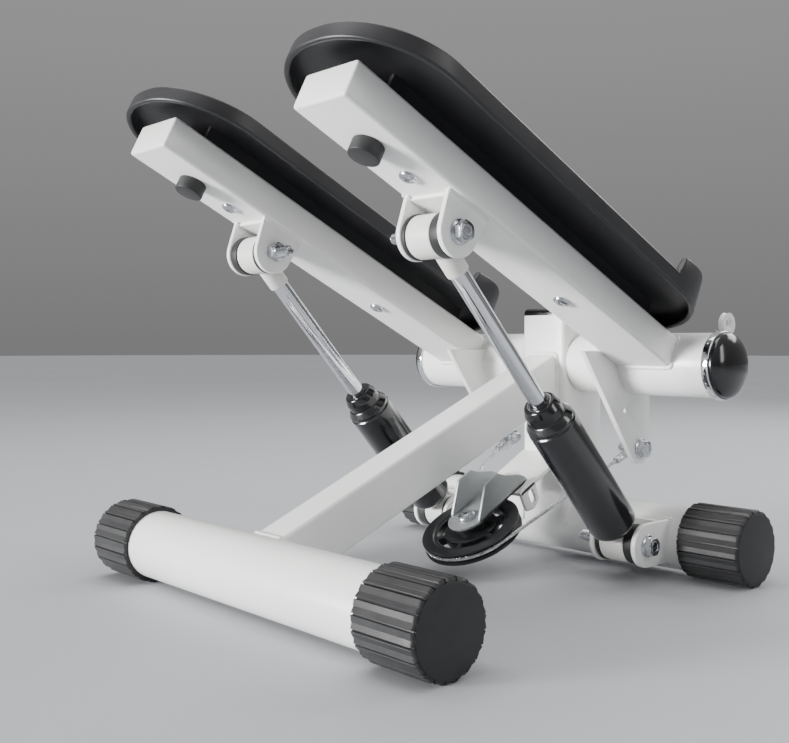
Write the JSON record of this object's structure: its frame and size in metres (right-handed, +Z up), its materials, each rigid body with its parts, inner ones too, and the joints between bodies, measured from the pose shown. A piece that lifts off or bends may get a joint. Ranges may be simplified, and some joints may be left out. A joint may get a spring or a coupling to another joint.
{
  "type": "mini stepper",
  "caption": "Compact stepper: two cable-linked pedals on hinged arms, hydraulic cylinders, tubular steel base with ribbed rubber feet.",
  "frame": {"origin": "on the floor, under the centre of the stepper's bounding box", "axes": "+Z up, +Y the way the user faces, +X to the user's right, along the cross tubes and the pedal shaft"},
  "size_m": [0.365, 0.3801, 0.3644],
  "materials": {
    "white_powder_coat": "satin",
    "white_nylon": "satin",
    "black_rubber": "matte",
    "black_plastic": "satin",
    "bright_zinc": "bright zinc plate",
    "chrome": "polished",
    "dark_barrel_enamel": "gloss",
    "grey_steel_sheet": "satin",
    "ground_steel": "ground",
    "bronze": "sintered",
    "wire_rope": "stranded"
  },
  "bodies": {
    "frame": {"bracket_screws": "bright_zinc", "centre_beam": "white_powder_coat", "front_cross_tube": "white_powder_coat", "front_foot_caps": "black_rubber", "lower_clevis_bolts": "bright_zinc", "lower_clevises": "white_powder_coat", "pivot_shaft": "ground_steel", "post": "white_powder_coat", "post_plug": "black_plastic", "pulley_base": "white_powder_coat", "pulley_bolt": "bright_zinc", "pulley_bracket": "grey_steel_sheet", "rear_cross_tube": "white_powder_coat", "rear_foot_caps": "black_rubber", "shaft_end_fasteners": "bright_zinc", "steel_cable": "wire_rope"},
    "left_arm": {"sleeve_left": "white_powder_coat", "sleeve_bushes_left": "white_nylon", "arm_tube_left": "white_powder_coat", "arm_end_plate_left": "white_powder_coat", "upper_clevis_left": "white_powder_coat", "upper_clevis_bolt_left": "bright_zinc", "lever_plate_left": "white_powder_coat", "cable_anchor_left": "bright_zinc", "pedal_left": "black_plastic", "pedal_screws_left": "bright_zinc", "bumper_left": "black_rubber", "sleeve_plug_left": "black_plastic", "band_ring_left": "chrome"},
    "left_cylinder": {"cylinder_barrel_left": "dark_barrel_enamel", "cylinder_gland_left": "black_plastic", "lower_eye_left": "white_nylon", "lower_eye_washers_left": "black_rubber"},
    "left_rod": {"piston_rod_left": "chrome", "piston_left": "bright_zinc", "upper_eye_left": "white_nylon", "upper_eye_washers_left": "black_rubber"},
    "right_arm": {"sleeve_right": "white_powder_coat", "sleeve_bushes_right": "white_nylon", "arm_tube_right": "white_powder_coat", "arm_end_plate_right": "white_powder_coat", "upper_clevis_right": "white_powder_coat", "upper_clevis_bolt_right": "bright_zinc", "lever_plate_right": "white_powder_coat", "cable_anchor_right": "bright_zinc", "pedal_right": "black_plastic", "pedal_screws_right": "bright_zinc", "bumper_right": "black_rubber", "sleeve_plug_right": "black_plastic", "band_ring_right": "chrome"},
    "right_cylinder": {"cylinder_barrel_right": "dark_barrel_enamel", "cylinder_gland_right": "black_plastic", "lower_eye_right": "white_nylon", "lower_eye_washers_right": "black_rubber"},
    "right_rod": {"piston_rod_right": "chrome", "piston_right": "bright_zinc", "upper_eye_right": "white_nylon", "upper_eye_washers_right": "black_rubber"},
    "pulley_wheel": {"pulley": "black_plastic", "pulley_bush": "bronze"}
  },
  "joints": [
    {"name": "left_pedal_swing", "type": "hinge", "parent": "frame", "child": "left_arm", "pos_m": [-0.1, 0.1618, 0.164], "axis": [1, 0, 0], "range_deg": [-14, 14], "deforming": ["steel_cable"]},
    {"name": "right_pedal_swing", "type": "hinge", "parent": "frame", "child": "right_arm", "pos_m": [0.1, 0.1618, 0.164], "axis": [1, 0, 0], "range_deg": [-14, 14]},
    {"name": "left_cylinder_tilt", "type": "hinge", "parent": "frame", "child": "left_cylinder", "pos_m": [-0.0995, 0.1133, 0.0287], "axis": [1, 0, 0], "range_deg": [-11.5, 11.5]},
    {"name": "left_rod_slide", "type": "slide", "parent": "left_cylinder", "child": "left_rod", "axis": [0, -0.6732, 0.7395], "range_m": [-0.0315, 0.0315]},
    {"name": "right_cylinder_tilt", "type": "hinge", "parent": "frame", "child": "right_cylinder", "pos_m": [0.0995, 0.1133, 0.0287], "axis": [1, 0, 0], "range_deg": [-11.5, 11.5]},
    {"name": "right_rod_slide", "type": "slide", "parent": "right_cylinder", "child": "right_rod", "axis": [0, -0.6732, 0.7395], "range_m": [-0.0315, 0.0315]},
    {"name": "pulley_spin", "type": "hinge", "parent": "frame", "child": "pulley_wheel", "pos_m": [0, 0.0483, 0.032], "axis": [0, -0.4617, 0.887], "range_deg": [-25, 25]}
  ],
  "couplings": [
    {"joint": "right_pedal_swing", "follows": "left_pedal_swing", "ratio": -1},
    {"joint": "left_cylinder_tilt", "follows": "left_pedal_swing", "ratio": 0.77515},
    {"joint": "right_cylinder_tilt", "follows": "left_pedal_swing", "ratio": -0.77515},
    {"joint": "left_rod_slide", "follows": "left_pedal_swing", "m_per_rad": -0.12625},
    {"joint": "right_rod_slide", "follows": "left_pedal_swing", "m_per_rad": 0.12625},
    {"joint": "pulley_spin", "follows": "left_pedal_swing", "ratio": -1.64}
  ]
}
